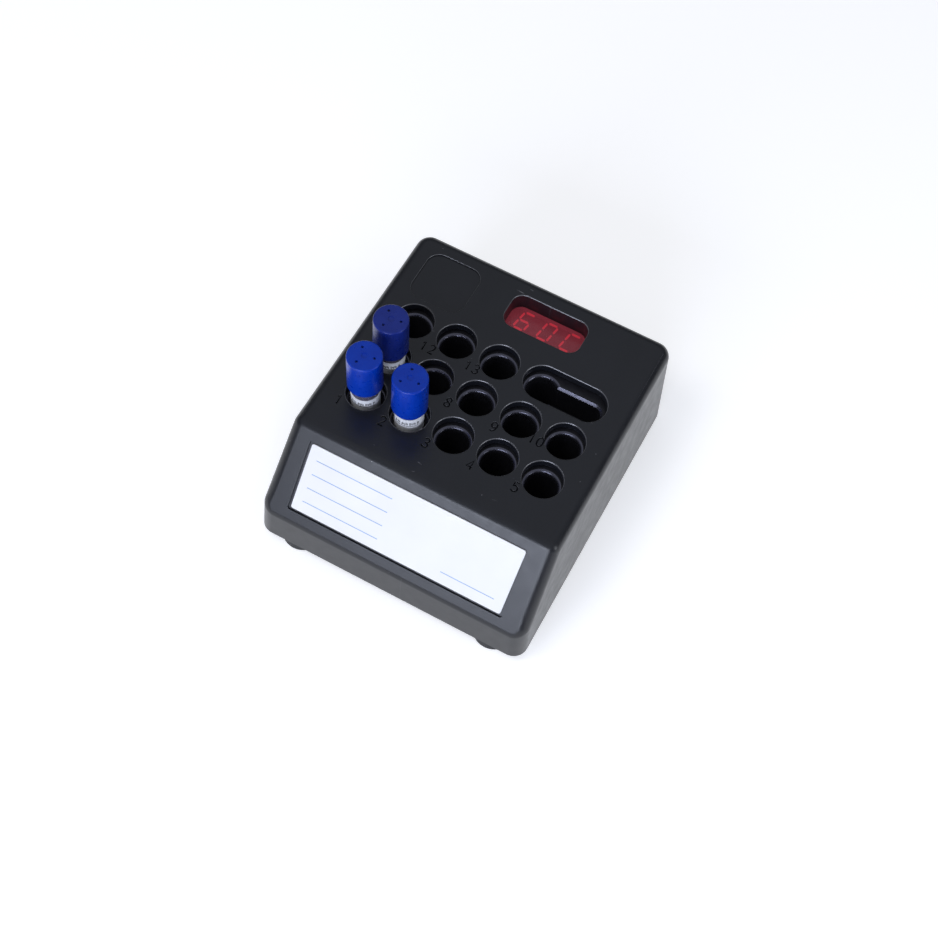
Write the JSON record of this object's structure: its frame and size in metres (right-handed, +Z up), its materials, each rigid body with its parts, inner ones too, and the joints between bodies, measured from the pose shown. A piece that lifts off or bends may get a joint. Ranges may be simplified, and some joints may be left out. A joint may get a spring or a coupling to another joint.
{
  "type": "dry bath incubator",
  "caption": "Dry block incubator for small capped indicator vials: low sloped housing, heated block with open wells, a vial crusher slot, red digit display and label panel.",
  "frame": {"origin": "on the table under the middle of the moulded body; z = 0 is the soles of the feet", "axes": "+Z up, +Y towards the rear wall with the power inlet, -Y is the sloped front, +X to the right seen from the front"},
  "size_m": [0.105, 0.118, 0.0712],
  "materials": {
    "dark_plastic": "fine matte moulded texture",
    "white_label": "satin",
    "base_plastic": "matte moulded",
    "foot_rubber": "matte",
    "steel": "zinc plated",
    "anodised_aluminium": "black anodised, polished at the mouths of the wells",
    "spacer_brass": "nickel free, turned",
    "heater_silicone": "satin silicone",
    "foam": "melamine foam",
    "circuit_board": "solder mask",
    "black_component": "moulded",
    "capacitor_sleeve": "shrunk sleeve",
    "terminal_green": "moulded",
    "connector_white": "moulded",
    "lead_black": "satin insulation",
    "red_filter": "clear dark red",
    "display_red": "satin",
    "vial_tube": "clear",
    "vial_cap": "satin moulded",
    "paper": "paper",
    "ampoule_glass": "clear"
  },
  "bodies": {
    "incubator": {"base_plate": "base_plastic", "block_screws": "steel", "block_spacers": "spacer_brass", "board_screws": "steel", "control_board": "circuit_board", "cutout_connector": "connector_white", "cutout_lead": "lead_black", "display_board": "circuit_board", "display_filter": "red_filter", "display_header": "black_component", "display_module": "display_red", "display_screws": "steel", "filter_capacitor": "capacitor_sleeve", "foot_front_left": "foot_rubber", "foot_front_right": "foot_rubber", "foot_rear_left": "foot_rubber", "foot_rear_right": "foot_rubber", "foot_screws": "steel", "front_label": "white_label", "heater_block": "anodised_aluminium", "heater_mat": "heater_silicone", "heater_tail": "heater_silicone", "heater_terminal": "terminal_green", "housing": "dark_plastic", "insulation_tray": "foam", "microcontroller": "black_component", "power_inlet": "black_component", "power_transistor": "black_component", "probe_connector": "connector_white", "probe_lead": "lead_black", "temperature_probe": "steel", "thermal_cutout": "steel"},
    "vial_1": {"vial_1_tube": "vial_tube", "vial_1_paper_label": "paper", "vial_1_ampoule": "ampoule_glass", "vial_1_spore_strip": "paper"},
    "vial_1_cap": {"vial_1_cap": "vial_cap", "vial_1_vent_paper": "paper"},
    "vial_2": {"vial_2_tube": "vial_tube", "vial_2_cap": "vial_cap", "vial_2_paper_label": "paper", "vial_2_vent_paper": "paper", "vial_2_ampoule": "ampoule_glass", "vial_2_spore_strip": "paper"},
    "vial_3": {"vial_3_tube": "vial_tube", "vial_3_cap": "vial_cap", "vial_3_paper_label": "paper", "vial_3_vent_paper": "paper", "vial_3_ampoule": "ampoule_glass", "vial_3_spore_strip": "paper"}
  },
  "joints": [
    {"name": "vial_1_lift", "type": "slide", "parent": "incubator", "child": "vial_1", "axis": [-0.0105, -0.0076, 0.9999], "range_m": [0, 0.032]},
    {"name": "vial_2_lift", "type": "slide", "parent": "incubator", "child": "vial_2", "axis": [-0.0085, 0.0098, 0.9999], "range_m": [0, 0.032]},
    {"name": "vial_3_lift", "type": "slide", "parent": "incubator", "child": "vial_3", "axis": [-0.0105, 0.0076, 0.9999], "range_m": [0, 0.032]},
    {"name": "vial_1_cap_press", "type": "slide", "parent": "vial_1", "child": "vial_1_cap", "axis": [0.0105, 0.0076, -0.9999], "range_m": [0, 0.001]}
  ]
}
